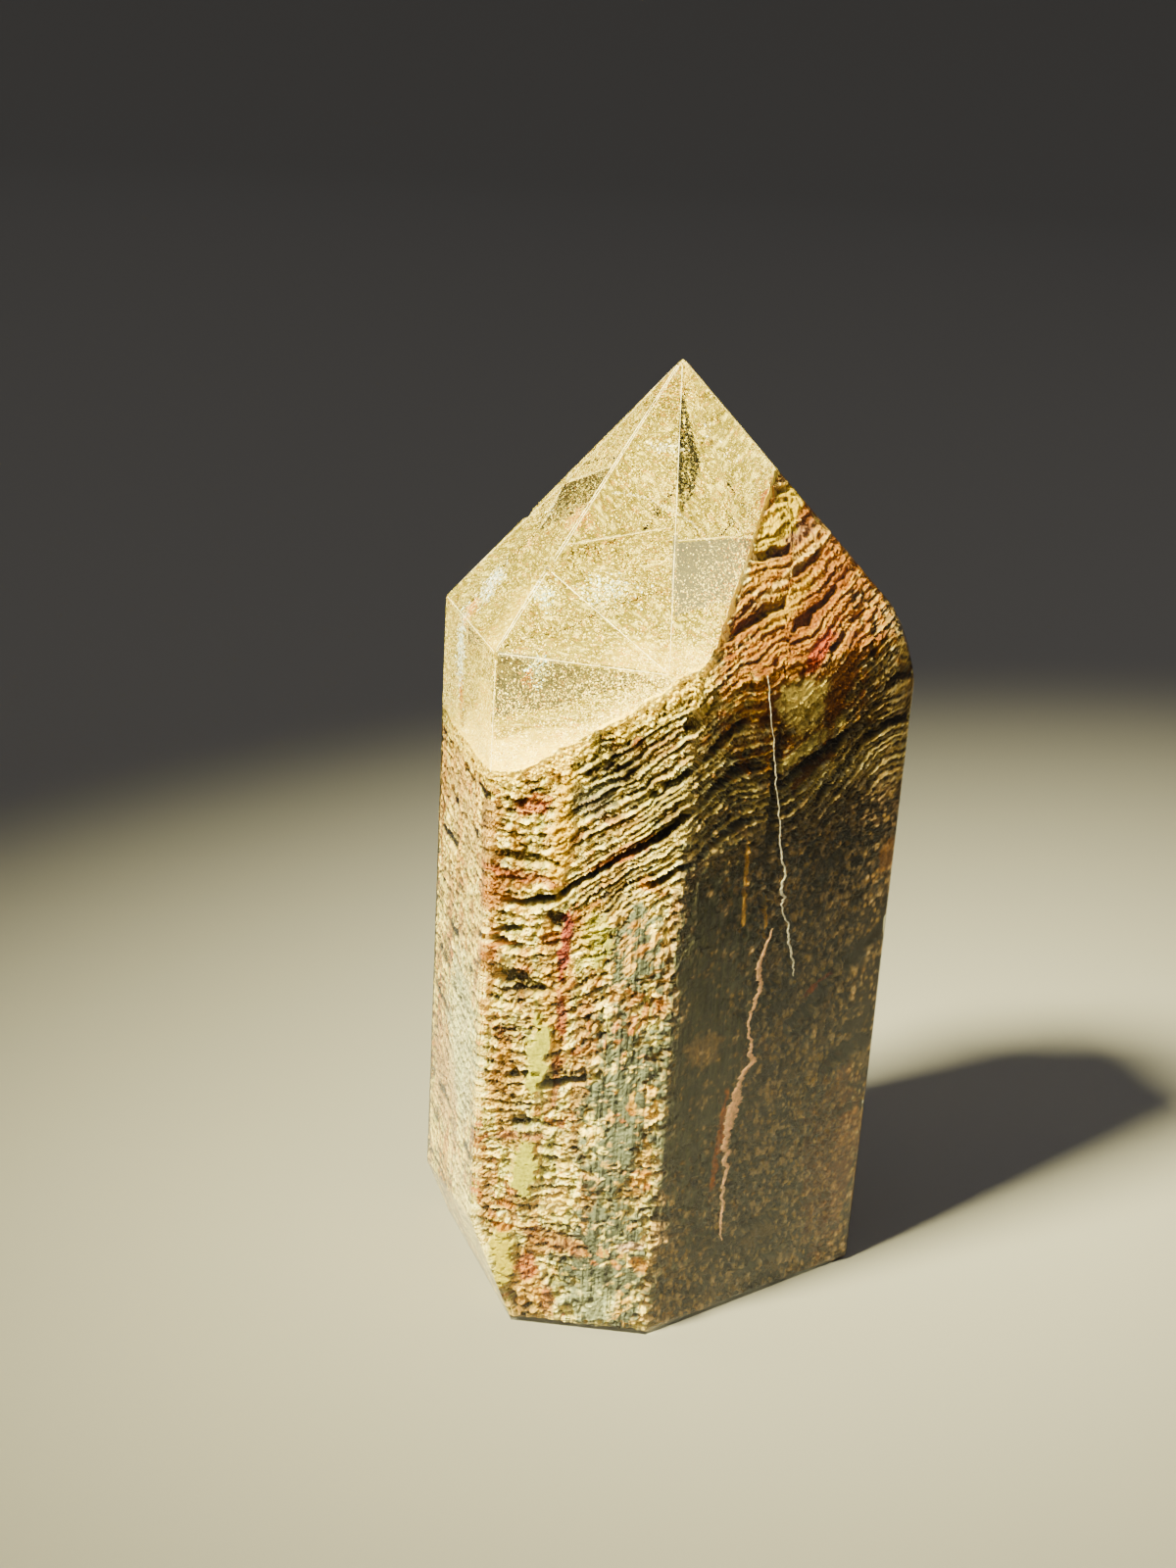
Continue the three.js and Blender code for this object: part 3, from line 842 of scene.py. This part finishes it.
def golden_haze():
    """The fine golden haze in the clear quartz, stained orange beside the rust."""
    p = rng.uniform(*HAZE_BOX, size=(int(HAZE_POINTS / COARSE ** 2), 3))
    above = above_garden(p)
    inside = (room_under(p).min(axis=1) > 0.35) & (above > 0.05)
    p, above = p[inside], above[inside]
    chosen = np.flatnonzero(rng.uniform(size=len(p)) < haze_density(p, above))[:MOST_FLAKES]
    p, above = p[chosen], above[chosen]
    sizes = rng.uniform(*HAZE_SIZES, size=len(p)) * np.where(p[:, 2] > 70, 0.7, 1.0)
    golden = palette(len(p), HAZE_COLOURS)
    orange = palette(len(p), STAINED_HAZE)
    stained = ease(0.5, 3, p[:, 0]) * ease(59, 63, p[:, 2]) * np.exp(-above / 2.0)
    tones = np.where(rng.uniform(size=(len(p), 1)) < 0.8 * stained[:, None], orange, golden)
    return flakes("golden_haze", p, sizes, np.clip(tones, 0, 1), 0.35)


def sliver():
    """Random points in the flat sliver of the painted dark reflection."""
    corners = np.array(DARK_REFLECTION_SLIVER)
    normal = np.cross(corners[1] - corners[0], corners[3] - corners[0])
    normal *= np.sign(normal[2]) / np.linalg.norm(normal)
    fan = rng.randint(1, len(corners) - 1, size=SLIVER_FLAKES)
    a, b = np.sort(rng.uniform(size=(2, SLIVER_FLAKES)), axis=0)
    place = corners[0] * a[:, None] + corners[fan] * (b - a)[:, None] + corners[fan + 1] * (1 - b)[:, None]
    return place - normal * SLIVER_DEPTH


def veils():
    """The sliver of painted dark reflection, the clusters, five of them painted sky reflections, and the
    streaks of larger flakes.
    """
    centres, sizes = [sliver()], [rng.uniform(*SLIVER_SIZES, size=SLIVER_FLAKES)]
    tones = [palette(SLIVER_FLAKES, SLIVER_COLOURS)]
    for middle, half, count, size, colours in CLUSTERS:
        centres.append(np.array(middle) + rng.normal(size=(count, 3)) * np.array(half) * 0.6)
        sizes.append(rng.uniform(0.4, 1.3, size=count) * size)
        tones.append(palette(count, tuple((c, 1) for c in colours)))
    for start, end, width, count, size, colours in STREAKS:
        along = rng.uniform(size=(count, 1))
        bow = np.sin(along * math.pi) * np.array([[0.0, 0.0, STREAK_BOW]])
        line = np.array(start) * (1 - along) + np.array(end) * along + bow
        centres.append(line + rng.normal(size=(count, 3)) * width)
        sizes.append(rng.uniform(0.35, 1.0, size=count) * size)
        tones.append(palette(count, tuple((c, 1) for c in colours)))
    centres, sizes, tones = np.concatenate(centres), np.concatenate(sizes), np.concatenate(tones)
    inside = room_under(centres).min(axis=1) > 0.3
    return flakes("veils", centres[inside], sizes[inside], np.clip(tones[inside], 0, 1), 0.2)


# The white thread and the tan vein down the right side: x and z of their points, and their half width
THREAD = (
    (7.2, 61.0, 0.05), (7.6, 58.5, 0.07), (8.1, 55.5, 0.05), (8.6, 52.4, 0.09), (8.8, 50.9, 0.07),
    (9.4, 47.6, 0.08), (9.8, 44.6, 0.10), (10.35, 42.3, 0.14), (10.0, 41.2, 0.20), (10.5, 40.3, 0.20),
    (10.2, 39.7, 0.10), (11.0, 37.4, 0.10), (11.3, 35.9, 0.16), (11.8, 34.0, 0.13), (12.0, 32.4, 0.07),
)
VEIN = (
    (9.6, 37.6, 0.11), (9.1, 35.9, 0.22), (8.5, 34.0, 0.35), (9.0, 32.4, 0.32), (8.6, 30.9, 0.30),
    (8.2, 29.8, 0.19), (8.2, 28.3, 0.15), (8.5, 26.4, 0.24), (8.8, 24.9, 0.51), (8.0, 24.0, 0.41),
    (7.7, 23.1, 0.35), (7.4, 21.4, 0.84), (7.2, 19.6, 0.78), (7.0, 18.4, 0.41), (6.8, 17.1, 0.46),
    (7.2, 15.7, 0.35), (7.1, 13.8, 0.22), (7.0, 11.9, 0.20), (7.1, 9.1, 0.18), (7.3, 7.4, 0.08),
)
THREAD_COLOUR = (0.84, 0.76, 0.58)
VEIN_COLOUR = (0.95, 0.54, 0.25)
THREAD_WOBBLE = 0.28
VEIN_WOBBLE = 0.42
THICKEST_CORD = 0.11
THINNEST_CORD = 0.02
CORD_STEPS = 420
CORD_DEPTH = 0.01
CORD_SIDES = 8
ON_RIGHT_SIDE = np.array([12.0, -10.6, 45.0])


def ribbon(middle, across, outwards, radius):
    """A closed flattened tube along the middle points, at most as thick as the thickest cord."""
    turn = np.linspace(0, 2 * math.pi, CORD_SIDES, endpoint=False)
    thick = np.minimum(radius, THICKEST_CORD)
    ring = np.cos(turn)[None, :, None] * across[None, None, :] * radius[:, None, None]
    ring = ring + np.sin(turn)[None, :, None] * outwards[None, None, :] * thick[:, None, None]
    place = (middle[:, None, :] + ring).reshape(-1, 3)
    idx = np.arange(len(place)).reshape(len(middle), CORD_SIDES)
    nxt = np.roll(idx, -1, axis=1)
    faces = np.stack([idx[:-1], idx[1:], nxt[1:], nxt[:-1]], axis=-1).reshape(-1, 4).tolist()
    faces += [idx[0].tolist(), idx[-1][::-1].tolist()]
    return place, faces


def upright_face_at(point):
    """The upright polished face that the point lies nearest to."""
    leaning = np.abs(FACE_NORMALS[:, 2]) > 0.1
    face = np.argmin(np.abs(room_under(point[None, :])[0]) + 50 * leaning)
    return FACE_NORMALS[face], FACE_DISTANCES[face]


def cord(name, knots, wobble, colour):
    """An uneven mineral cord that lies just under the polish of the right side."""
    knots = np.array(knots)
    t = np.linspace(0, len(knots) - 1, CORD_STEPS)
    x, z, width = (np.interp(t, np.arange(len(knots)), knots[:, k]) for k in range(3))
    along = np.c_[t * 1.7, 0 * t, 0 * t]
    x = x + wobble * (field("cord_turn", along) + 0.3 * field("fine_cord_turn", along))
    uneven = 0.85 + 0.5 * field("cord_width", along) + 0.6 * field("fine_cord_width", along)
    radius = np.maximum(width * uneven, THINNEST_CORD)
    n, d = upright_face_at(ON_RIGHT_SIDE)
    y = (d - CORD_DEPTH - np.minimum(radius, THICKEST_CORD) - n[0] * x - n[2] * z) / n[1]
    across = np.cross(n, (0, 0, 1.0))
    across /= np.linalg.norm(across)
    place, faces = ribbon(np.c_[x, y, z], across, n, radius)
    colours = np.array(colour) * (0.8 + 0.3 * field("cord_tone", place))[:, None]
    return mesh_piece(name, place, faces, np.clip(colours, 0, 1))


# Painted highlights: fine pale lines just under the polished bevels of the clear quartz stand in for the
# light that the edges catch (mm)
SHORTEST_EDGE = 4.0
WIDEST_BEVEL = 0.55
EDGE_LINE_RADIUS = 0.034
EDGE_LINE_DEPTH = 0.015
EDGE_LINE_STEP = 0.25
EDGE_HIGHLIGHT_COLOUR = (0.92, 0.84, 0.58)


def bevel_lines(body):
    """The middle line of each polished bevel where the quartz is clear, and its face's normal."""
    for face in body.data.polygons:
        ring = np.array([body.data.vertices[v].co for v in face.vertices]) / MM
        gaps = np.linalg.norm(ring[:, None] - ring[None, :], axis=2)
        length = gaps.max()
        if length < SHORTEST_EDGE or face.area / MM ** 2 / length > WIDEST_BEVEL:
            continue
        first, last = np.unravel_index(gaps.argmax(), gaps.shape)
        way = (ring[last] - ring[first]) / length
        run = (ring - ring[first]) @ way
        ends = [ring[run < 0.2 * length].mean(axis=0), ring[run > 0.8 * length].mean(axis=0)]
        t = np.linspace(0.01, 0.99, int(length / EDGE_LINE_STEP))[:, None]
        line = ends[0] * (1 - t) + ends[1] * t
        line = line[above_garden(line) > 0]
        if len(line) >= 8:
            yield line, way, np.array(face.normal)


def edge_highlight(body):
    """A painted highlight: a fine pale line just under the middle of each polished bevel, where the quartz
    is clear.
    """
    places, faces = [], []
    for line, way, n in bevel_lines(body):
        radius = EDGE_LINE_RADIUS * np.clip(0.8 + 0.7 * field("edge_line", line), 0.25, 1.3)
        line = line - n * (EDGE_LINE_DEPTH + radius)[:, None]
        place, own = ribbon(line, np.cross(n, way), n, radius)
        faces += [[v + sum(map(len, places)) for v in f] for f in own]
        places.append(place)
    place = np.concatenate(places)
    return mesh_piece("edge_highlight", place, faces, np.tile(np.array(EDGE_HIGHLIGHT_COLOUR), (len(place), 1)))


# Materials

QUARTZ_IOR = 1.544
ABSORPTION = {"Color": (0.88, 0.80, 0.20, 1), "Density": 24.0}

# The minerals lie in quartz, so their own reflection is weak
MINERAL_SPECULAR = 0.12


def new_material(name):
    material = bpy.data.materials.new(name)
    material.use_nodes = True
    return material, material.node_tree, material.node_tree.nodes["Principled BSDF"]


def add_node(tree, kind, **sockets):
    node = tree.nodes.new("ShaderNode" + kind)
    for name, value in sockets.items():
        node.inputs[name.replace("_", " ")].default_value = value
    return node


def noise_node(tree, scale, detail, roughness=0.55):
    place = tree.nodes.new("ShaderNodeTexCoord")
    node = add_node(tree, "TexNoise", Scale=scale, Detail=detail, Roughness=roughness)
    tree.links.new(place.outputs["Object"], node.inputs["Vector"])
    return node.outputs["Fac"]


def ranged(tree, value, low, high, start, end):
    node = add_node(tree, "MapRange", From_Min=low, From_Max=high, To_Min=start, To_Max=end)
    tree.links.new(value, node.inputs["Value"])
    return node.outputs["Result"]


def bumped(tree, shader, value, strength, distance):
    node = add_node(tree, "Bump", Strength=strength, Distance=distance)
    tree.links.new(value, node.inputs["Height"])
    tree.links.new(node.outputs["Normal"], shader.inputs["Normal"])


def quartz_material():
    """Polished clear quartz with a warm smoky cast."""
    material, tree, shader = new_material("clear_quartz")
    shader.inputs["Base Color"].default_value = (1, 1, 1, 1)
    shader.inputs["IOR"].default_value = QUARTZ_IOR
    shader.inputs["Transmission Weight"].default_value = 1.0
    polish = noise_node(tree, 180.0, 3.0)
    tree.links.new(ranged(tree, polish, 0.35, 0.75, 0.0, 0.035), shader.inputs["Roughness"])
    bumped(tree, shader, polish, 0.08, 0.0001)
    absorb = add_node(tree, "VolumeAbsorption", **ABSORPTION)
    tree.links.new(absorb.outputs["Volume"], tree.nodes["Material Output"].inputs["Volume"])
    return material


def garden_material():
    """Mineral grains: each point's colour, with the painted light and shade in it, broken up by fine
    speckle as far as its alpha says.
    """
    material, tree, shader = new_material("garden_minerals")
    own = tree.nodes.new("ShaderNodeVertexColor")
    own.layer_name = "garden_colour"
    speckle = noise_node(tree, 3200.0, 3.0, 0.65)
    amount = add_node(tree, "Math")
    amount.operation = "MULTIPLY_ADD"
    tree.links.new(ranged(tree, speckle, 0.3, 0.7, -0.45, 0.4), amount.inputs[0])
    tree.links.new(own.outputs["Alpha"], amount.inputs[1])
    amount.inputs[2].default_value = 1.0
    paint = tree.nodes.new("ShaderNodeVectorMath")
    paint.operation = "SCALE"
    tree.links.new(own.outputs["Color"], paint.inputs["Vector"])
    tree.links.new(amount.outputs["Value"], paint.inputs["Scale"])
    tree.links.new(paint.outputs["Vector"], shader.inputs["Base Color"])
    grain = noise_node(tree, 900.0, 2.0)
    tree.links.new(ranged(tree, grain, 0.3, 0.7, 0.35, 0.75), shader.inputs["Roughness"])
    shader.inputs["Specular IOR Level"].default_value = MINERAL_SPECULAR
    bumped(tree, shader, speckle, 0.5, 0.00012)
    return material


# Stage

def floor():
    """A round pale floor that curves up into a low wall."""
    arc, turns = FLOOR["arc"], FLOOR["turns"]
    rise = np.linspace(0, math.pi / 2, FLOOR["arc_steps"])
    profile = [(0.001, 0)] + [(FLOOR["flat"] + arc * math.sin(a), arc - arc * math.cos(a)) for a in rise]
    around = [2 * math.pi * k / turns for k in range(turns)]
    verts = [(r * math.cos(a), r * math.sin(a), z) for r, z in profile for a in around]
    faces = []
    for ring in range(len(profile) - 1):
        for k in range(turns):
            a, b = ring * turns + k, ring * turns + (k + 1) % turns
            faces.append((a, b, b + turns, a + turns))
    mesh = bpy.data.meshes.new("floor")
    mesh.from_pydata(verts, [], faces)
    for face in mesh.polygons:
        face.use_smooth = True
    piece = bpy.data.objects.new("floor", mesh)
    bpy.context.scene.collection.objects.link(piece)
    material, _, shader = new_material("pale_floor")
    shader.inputs["Base Color"].default_value = FLOOR["colour"]
    shader.inputs["Roughness"].default_value = FLOOR["roughness"]
    mesh.materials.append(material)


def place_lamp(name, data, settings):
    """Puts the lamp at its azimuth, elevation and distance, turned to the crystal."""
    data.energy = settings["power"]
    data.color = settings["colour"]
    a, e = math.radians(settings["azimuth"]), math.radians(settings["elevation"])
    away = Vector((math.sin(a) * math.cos(e), -math.cos(a) * math.cos(e), math.sin(e)))
    piece = bpy.data.objects.new(name, data)
    piece.location = Vector(LAMPS_AIM) + away * settings["distance"]
    piece.rotation_euler = away.to_track_quat("Z", "Y").to_euler()
    bpy.context.scene.collection.objects.link(piece)


def lights():
    key = bpy.data.lights.new("key", "SPOT")
    key.shadow_soft_size = KEY["size"]
    key.spot_size = math.radians(SPOT_CONE_DEG)
    key.spot_blend = SPOT_BLEND
    place_lamp("key", key, KEY)
    fill = bpy.data.lights.new("fill", "AREA")
    fill.shape = "DISK"
    fill.size = FILL["size"]
    place_lamp("fill", fill, FILL)
    world = bpy.data.worlds.new("studio")
    world.use_nodes = True
    background = world.node_tree.nodes["Background"]
    background.inputs["Color"].default_value = WORLD["colour"]
    background.inputs["Strength"].default_value = WORLD["strength"]
    bpy.context.scene.world = world


def camera():
    data = bpy.data.cameras.new("camera")
    data.lens = CAMERA["lens"]
    data.sensor_width = CAMERA["sensor"]
    data.clip_start = 0.01
    piece = bpy.data.objects.new("camera", data)
    pitch = Matrix.Rotation(math.radians(90 - CAMERA["pitch"]), 4, "X")
    roll = Matrix.Rotation(math.radians(CAMERA["roll"]), 4, "Z")
    piece.matrix_world = Matrix.Translation(Vector(CAMERA["place"]) * MM) @ pitch @ roll
    bpy.context.scene.collection.objects.link(piece)
    bpy.context.scene.camera = piece


camera()
lights()
floor()
shell = polished_quartz()
minerals = garden_material()
for name, start, end, spacing in GARDEN_SLICES:
    wedge = garden_wedge(name, start, end, spacing * COARSE)
    wedge.data.materials.append(minerals)
    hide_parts("garden")
for piece in (
    golden_haze(),
    veils(),
    cord("thread", THREAD, THREAD_WOBBLE, THREAD_COLOUR),
    cord("vein", VEIN, VEIN_WOBBLE, VEIN_COLOUR),
    edge_highlight(shell),
):
    piece.data.materials.append(minerals)
